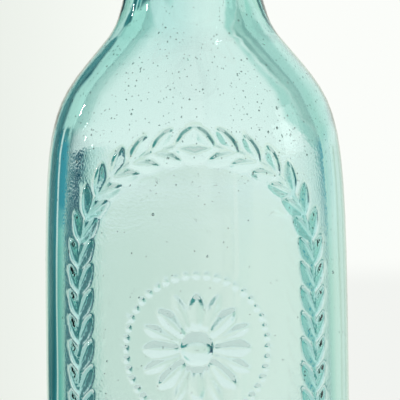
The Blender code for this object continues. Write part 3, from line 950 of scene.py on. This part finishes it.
head_outline = smooth_outline(cad_outline("stopper_head", 0, 1), 0.2 * MM)
head = as_object("porcelain_head", spin_outline(spaced(head_outline, np.full(len(head_outline), HEAD_ROW)),
                                                HEAD_COLUMNS))
cutter_outline = [(0, -HOLE_END), (HOLE_MOUTH, -HOLE_END), (HOLE_RADIUS, -HOLE_MOUTH_START),
                  (HOLE_RADIUS, HOLE_MOUTH_START), (HOLE_MOUTH, HOLE_END), (0, HOLE_END)]
shape = spin_outline(cutter_outline, 48)
shape.transform(Matrix.Translation((0, 0, HOLE_LEVEL)) @ Matrix.Rotation(pi / 2, 4, "Y"))
cutter = as_object("hole_cutter", shape)
cut = head.modifiers.new("cross hole", "BOOLEAN")
cut.operation = "DIFFERENCE"
cut.solver = "EXACT"
cut.object = cutter
apply_modifier(head, cut)
head.data.set_sharp_from_angle(angle=radians(38))
bpy.data.objects.remove(cutter)
ring = as_object("rubber_ring", spin_outline(rounded_corners(cad_outline("rubber_seal", 0, 1), RING_CORNER),
                                             HEAD_COLUMNS))
print("head:", len(head.data.polygons), "faces, ring:", len(ring.data.polygons), "faces")

# %% [markdown]
# ## Porcelain and rubber
# The glaze is glassy and has crazed: fine cracks that dirt has coloured, which Voronoi edges draw. Rust
# from the bail has run out of the hole. The rubber is red with ochre filler, hardened and dusty, with
# small cracks round its rim.

# %% Fill the porcelain and rubber materials
porcelain, graph = finish_named("porcelain")
place = graph.place()
x, y, z = graph.parts(place)
wandering = graph.noise(place, 300.0, 2.0)
craze = graph.cracks(graph.scaled(place, wandering * 0.12 + 1), 430.0, 0.035, 0.005)
craze = craze * graph.smooth(graph.noise(place, 150.0), 0.4, 0.6)
specks = graph.smooth(graph.noise(place, 1900.0, 1.0), 0.74, 0.80)
from_hole = ((y ** 2) + (z - HOLE_LEVEL) ** 2) ** 0.5
stain = graph.smooth(from_hole, 4.2 * MM, 1.3 * MM) * graph.smooth(graph.math("ABSOLUTE", x), 7 * MM, 11 * MM)
stain = stain * graph.smooth(graph.noise(place, 500.0, 3.0), 0.3, 0.7)
white = graph.mix(graph.noise(place, 90.0), (0.86, 0.84, 0.77, 1), (0.90, 0.89, 0.84, 1))
white = graph.mix(craze * 0.55, white, (0.42, 0.33, 0.22, 1))
white = graph.mix(specks * 0.6, white, (0.20, 0.15, 0.10, 1))
graph.surface({"Base Color": graph.mix(stain * 0.75, white, (0.40, 0.19, 0.07, 1)),
               "Roughness": 0.10 + craze * 0.2 + stain * 0.3,
               "Normal": graph.bump(0.3, 0.1 * MM, wandering - craze * 0.4)})

rubber, graph = finish_named("red_rubber")
place = graph.place()
cloudy = graph.noise(place, 350.0, 4.0)
split = graph.cracks(place, 900.0, 0.05, 0.01) * graph.smooth(cloudy, 0.45, 0.6)
red = graph.mix(graph.smooth(cloudy, 0.3, 0.7), (0.36, 0.085, 0.05, 1), (0.50, 0.17, 0.10, 1))
red = graph.mix(graph.smooth(graph.noise(place, 1500.0, 2.0), 0.55, 0.75) * 0.4, red, (0.58, 0.36, 0.28, 1))
graph.surface({"Base Color": graph.mix(split * 0.7, red, (0.12, 0.03, 0.02, 1)),
               "Roughness": 0.62 + cloudy * 0.25, "Normal": graph.bump(0.6, 0.1 * MM, cloudy * 0.3 - split)})

for piece, node, paint, slot in ((head, "stopper_head", porcelain, "porcelain"),
                                 (ring, "rubber_seal", rubber, "red_rubber")):
    piece.data.materials.clear()
    piece.data.materials.append(paint)
    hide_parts(node)
    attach(piece, "stopper")
    print(piece.name, "stands for", node)

# %% [markdown]
# ## The studio: a ring of screens
# Glass shows what is around it more than itself. A photographer stands white screens round it with dark
# gaps between them: the screens make it glow and the gaps draw its edges. Here the world plays that studio,
# and its colour depends on which way a ray leaves the glass. Four screens stand in front, behind and at
# both sides. `off_screen` is 0 at a screen's middle and 1 or -1 halfway to the next, and a row of colours
# runs out to each side: one is deep teal in the gap and the other hardly dim, as by a window.

# %% Draw the ring of screens
SCREENS = 4
WHITE = (1, 1, 1)
SOFT_WHITE = (0.98, 0.98, 0.98)
DEEP_TEAL = (0.012, 0.10, 0.13)
PALE_TEAL = (0.55, 0.75, 0.70)
DIM_SIDE = (
    (0.0, SOFT_WHITE), (0.06, SOFT_WHITE), (0.15, WHITE), (0.20, (0.76, 0.90, 0.88)),
    (0.24, (0.60, 0.74, 0.72)), (0.285, (0.22, 0.42, 0.43)), (0.33, DEEP_TEAL), (0.50, DEEP_TEAL),
    (0.58, (0.03, 0.20, 0.26)), (0.65, (0.07, 0.34, 0.40)), (0.665, WHITE), (0.72, WHITE),
    (0.74, (0.20, 0.56, 0.56)), (0.86, (0.30, 0.66, 0.60)), (1.0, PALE_TEAL))
LIT_SIDE = (
    (0.0, SOFT_WHITE), (0.06, SOFT_WHITE), (0.15, WHITE), (0.22, WHITE), (0.45, (0.84, 0.93, 0.92)),
    (0.8, (0.86, 0.93, 0.91)), (1.0, PALE_TEAL))

world = bpy.data.worlds.new("studio")
bpy.context.scene.world = world
world.use_nodes = True
graph = Graph(world.node_tree)
x, y, z = graph.parts(graph.node("ShaderNodeTexCoord", output="Generated"))
turn = graph.math("ARCTAN2", x, y)
off_screen = graph.math("WRAP", turn, pi / SCREENS, -pi / SCREENS) * (SCREENS / pi)
screens = graph.mix(graph.math("GREATER_THAN", off_screen, 0.0),
                    graph.ramp(DIM_SIDE, 0 - off_screen), graph.ramp(LIT_SIDE, off_screen))
print("ring:", SCREENS, "screens")

# %% [markdown]
# ## Which way a ray has come
# A Light Path node tells what a ray has done before it reaches the studio. One straight from the camera
# sees the wall. One that passed through the glass without being thrown back draws the clear middle and the
# dark outlines. One that bounced inside draws the streaks along the walls, and one that came off the outer
# skin is a mirror image. Each kind meets its own share of the studio.

# %% Tell the rays apart
from_camera = graph.node("ShaderNodeLightPath", output="Is Camera Ray")
through = from_camera.beside("Is Transmission Ray")
bent = through | from_camera.beside("Is Glossy Ray")
bounced = graph.math("MINIMUM", from_camera.beside("Glossy Depth"), 1.0)
straight = 1 - bounced
one_wall = graph.math("LESS_THAN", from_camera.beside("Transmission Depth"), 2.5)
off_skin = from_camera.beside("Is Singular Ray") * (1 - through)
print("ray kinds ready")

# %% [markdown]
# ## The wall behind
# The camera sees a plain off-white wall, a little dimmer at the left and low at the right. Through the
# glass the wall is warmer near the level of the camera and colours the screens in front of it. The darkest
# gap is speckled. The gaps end above and below that level, and the wall shows there. High at the right a
# dim card stands before it and greys that side of the shoulder.

# %% Paint the wall and the gaps
WALL_HALF_WIDTH = 0.052
WALL_STOPS = (
    (0.0, (0.825, 0.865, 0.81)), (0.3, (0.925, 0.958, 0.908)), (0.7, (0.965, 0.982, 0.95)),
    (1.0, (0.965, 0.982, 0.95)))
LOW_RIGHT_SHADE = 0.08
LOW_LEFT_WALL = (0.86, 0.90, 0.84, 1)
LOW_RIGHT_WALL = (0.96, 0.96, 0.91, 1)
SPECKS_ACROSS = 16.0
NAVY = (0.012, 0.06, 0.11, 1)
SPECKLED = (0.60, 0.76, 0.82, 1)
FAR_RIGHT = (0.84, 0.93, 0.92, 1)
HIGH_RIGHT = (0.50, 0.74, 0.70, 1)

backdrop = graph.ramp(WALL_STOPS, x * (0.5 / WALL_HALF_WIDTH) + 0.5)
low_right = graph.smooth(z, -0.014, -0.022) * graph.smooth(x, 0.0, 0.03) * LOW_RIGHT_SHADE
backdrop = graph.mix(low_right, backdrop, (0, 0, 0, 1))
off_level = graph.smooth(z, -0.01, 0.035) | graph.smooth(z, -0.05, -0.08)
low_wall = graph.mix(graph.smooth(x, -0.06, 0.06), LOW_LEFT_WALL, LOW_RIGHT_WALL)
behind_glass = graph.mix(off_level, low_wall, (1, 1, 1, 1))

speckle = graph.smooth(graph.noise(graph.vector(off_screen * SPECKS_ACROSS, 0, 0), 1.0, 0.0), 0.48, 0.58)
in_the_gap = graph.smooth(off_screen, -0.26, -0.33) * graph.smooth(off_screen, -0.56, -0.46)
screens = graph.mix(in_the_gap * straight, screens, graph.mix(speckle * 0.7, NAVY, SPECKLED))
screens = graph.mix(straight * graph.smooth(x, 0.5, 0.6), screens, FAR_RIGHT)
tinted = graph.node("ShaderNodeMix", {
    "Factor": 1.0, "A": screens, "B": behind_glass}, "Result", data_type="RGBA", blend_type="MULTIPLY")

past_the_gap = (graph.smooth(z, 0.040, 0.064) | graph.smooth(z, -0.065, -0.10)) * straight
high_right = graph.smooth(off_screen + z * 2.3, 0.48, 0.60) * graph.smooth(x, 0.13, 0.19)
high_right = high_right * graph.smooth(z, 0.02, 0.05) * graph.smooth(z, 0.21, 0.17)
surroundings = graph.mix(past_the_gap, tinted, graph.mix(high_right, behind_glass, HIGH_RIGHT))
print("wall and gaps ready")

# %% [markdown]
# ## Cards and flags
# A photographer also holds small cards beside the glass until each line sits where it should. Each row
# below is one: whether it works on rays that bounced inside, where it stands to the right (x) and up (z),
# how strong it is, and its colour. A ramp goes from where a card starts to where it is full, so one ramp
# is an edge and two make a strip.

# %% Hold up the cards
CARDS = (
    # the outlines of the raised work, and its dark faces at the right and the left
    (False, (), ((-0.055, -0.14), (-0.7, -0.5)), 0.8, (0.55, 0.66, 0.62)),
    (False, ((0.08, 0.18),), ((-0.04, -0.09),), 1.0, (0.05, 0.28, 0.27)),
    (False, ((-0.08, -0.18),), ((-0.04, -0.09),), 1.0, (0.01, 0.16, 0.16)),
    # the left of the neck
    (False, ((-0.12, -0.36),), ((0.14, 0.20),), 1.0, (0.60, 0.76, 0.73)),
    # the right of the neck: its shade, its core and its inner line
    (False, ((0.185, 0.225),), ((0.17, 0.215),), 1.0, (0.46, 0.65, 0.61)),
    (False, ((0.19, 0.21), (0.27, 0.235)), ((0.205, 0.235), (0.36, 0.31)), 1.0, (0.22, 0.40, 0.38)),
    (False, ((0.25, 0.29),), ((0.33, 0.38),), 1.0, (0.22, 0.40, 0.38)),
    # the left wall: two pale streaks and a dark one along the outline
    (True, ((-0.36, -0.46),), ((0.15, 0.25),), 1.0, (0.70, 0.92, 0.87)),
    (True, ((-0.15, -0.25),), ((0.33, 0.40),), 1.0, (0.66, 0.88, 0.84)),
    (True, ((-0.05, -0.15), (-0.34, -0.27)), ((0.08, 0.14), (0.36, 0.31)), 1.0, (0.03, 0.20, 0.24)),
    # the right wall: its shade, the thin line by its edge, the edge and what lies far out
    (True, ((0.30, 0.60),), ((0.10, 0.20),), 1.0, (0.50, 0.74, 0.69)),
    (True, ((0.10, 0.22),), ((0.28, 0.42),), 1.0, (0.52, 0.72, 0.69)),
    (True, ((0.35, 0.39), (0.48, 0.43)), ((0.10, 0.05),), 1.0, (0.60, 0.68, 0.60)),
    (True, ((0.0, 0.1), (0.38, 0.30)), ((0.10, 0.05),), 1.0, (0.78, 0.86, 0.82)),
    (True, ((0.68, 0.74),), (), 1.0, (0.55, 0.72, 0.68)),
    # the inner line of the left wall
    (True, ((-0.52, -0.57), (-0.67, -0.62)), ((0.12, 0.20), (0.27, 0.22)), 1.0, (0.08, 0.26, 0.27)))
BLUE_STREAK = (0.06, 0.34, 0.44, 1)

for on_bounced, x_ramps, z_ramps, share, colour in CARDS:
    card = (bounced if on_bounced else straight) * share
    for direction, ramps in ((x, x_ramps), (z, z_ramps)):
        for ramp in ramps:
            card = card * graph.smooth(direction, *ramp)
    surroundings = graph.mix(card, surroundings, (*colour, 1))
streak = bounced * graph.smooth(off_screen, -0.72, -0.76)
streak = streak * graph.smooth(z, 0.02, 0.05) * graph.smooth(z, 0.22, 0.12)
surroundings = graph.mix(streak, surroundings, BLUE_STREAK)
print("cards:", len(CARDS))

# %% [markdown]
# ## Light that gets lost
# A ray that is thrown about in thick glass comes out weak, so it meets a dark teal instead of the screens,
# except where it crossed only one wall on its way up, back or to the right. The outer skin mirrors the
# room too: dark at the left, and olive at the grazing edge. All other rays, which light the porcelain,
# the wire and the floor, meet even daylight.

# %% Lose some light and finish the world
LOST = 0.9
DARK_ROOM = (0.015, 0.14, 0.17, 1)
EDGE_OLIVE = (0.80, 0.84, 0.75, 1)
DAYLIGHT = (0.70, 0.71, 0.72, 1)

kept = graph.smooth(y, 0.64, 0.74) | graph.smooth(x, 0.5, 0.6) | graph.smooth(z, 0.22, 0.32)
lost_inside = bounced * through * (1 - one_wall * kept)
lost_left = off_skin * graph.smooth(x, 0.3, -0.1) * graph.smooth(y, 0.95, 0.88)
surroundings = graph.mix((lost_inside + lost_left) * LOST, surroundings, DARK_ROOM)
surroundings = graph.mix(off_skin * graph.smooth(y, 0.90, 0.96), surroundings, EDGE_OLIVE)
seen = graph.mix(from_camera, graph.mix(bent, DAYLIGHT, surroundings), backdrop)
sky = graph.node("ShaderNodeBackground", {"Color": seen, "Strength": 1.0})
graph.node("ShaderNodeOutputWorld", {"Surface": sky})
print("world:", len(world.node_tree.nodes), "nodes")

# %% [markdown]
# ## Lamps
# The world gives most of the light. A weak softbox at the right adds a sheen, and a key lamp far up behind
# the bottle gives the stopper its highlight. Two small lamps at the left stand where the shoulder mirrors
# them towards the camera, one as a thin streak and one as a glint.

# %% Hang the lamps
LAMP_TARGET = Vector((0, 0, 0.11))
LAMPS = (
    ("right_softbox", (0.95, -0.07, 0.45), (0.35, 0.35), 0.5),
    ("high_key", (0.3, 0.45, 1.5), (0.25, 0.25), 5.0),
    ("left_strip", (-0.842, 0.386, 0.487), (0.014, 0.10), 0.3),
    ("left_glint", (-0.965, 0.131, 0.334), (0.025, 0.025), 0.15))

for name, place, size, power in LAMPS:
    light = bpy.data.lights.new(name, "AREA")
    light.shape = "RECTANGLE"
    light.size, light.size_y = size
    light.energy = power
    lamp = bpy.data.objects.new(name, light)
    bpy.context.scene.collection.objects.link(lamp)
    lamp.location = place
    lamp.rotation_euler = (LAMP_TARGET - Vector(place)).to_track_quat("-Z", "Y").to_euler()
print("lamps:", len(LAMPS))

# %% [markdown]
# ## The floor
# A plain pale disc, matt, far wider than the bottle's shadow. Light comes from all round, so that shadow
# stays soft.

# %% Lay the floor
FLOOR_RADIUS = 0.6

shape = bmesh.new()
bmesh.ops.create_circle(shape, cap_ends=True, segments=128, radius=FLOOR_RADIUS)
floor = as_object("floor", shape)
floor_paint, graph = finish_named("floor_paint")
graph.surface({"Base Color": (0.80, 0.80, 0.78, 1), "Roughness": 0.9})
floor.data.materials.append(floor_paint)
bpy.context.scene.view_settings.view_transform = "Standard"
print("studio ready")
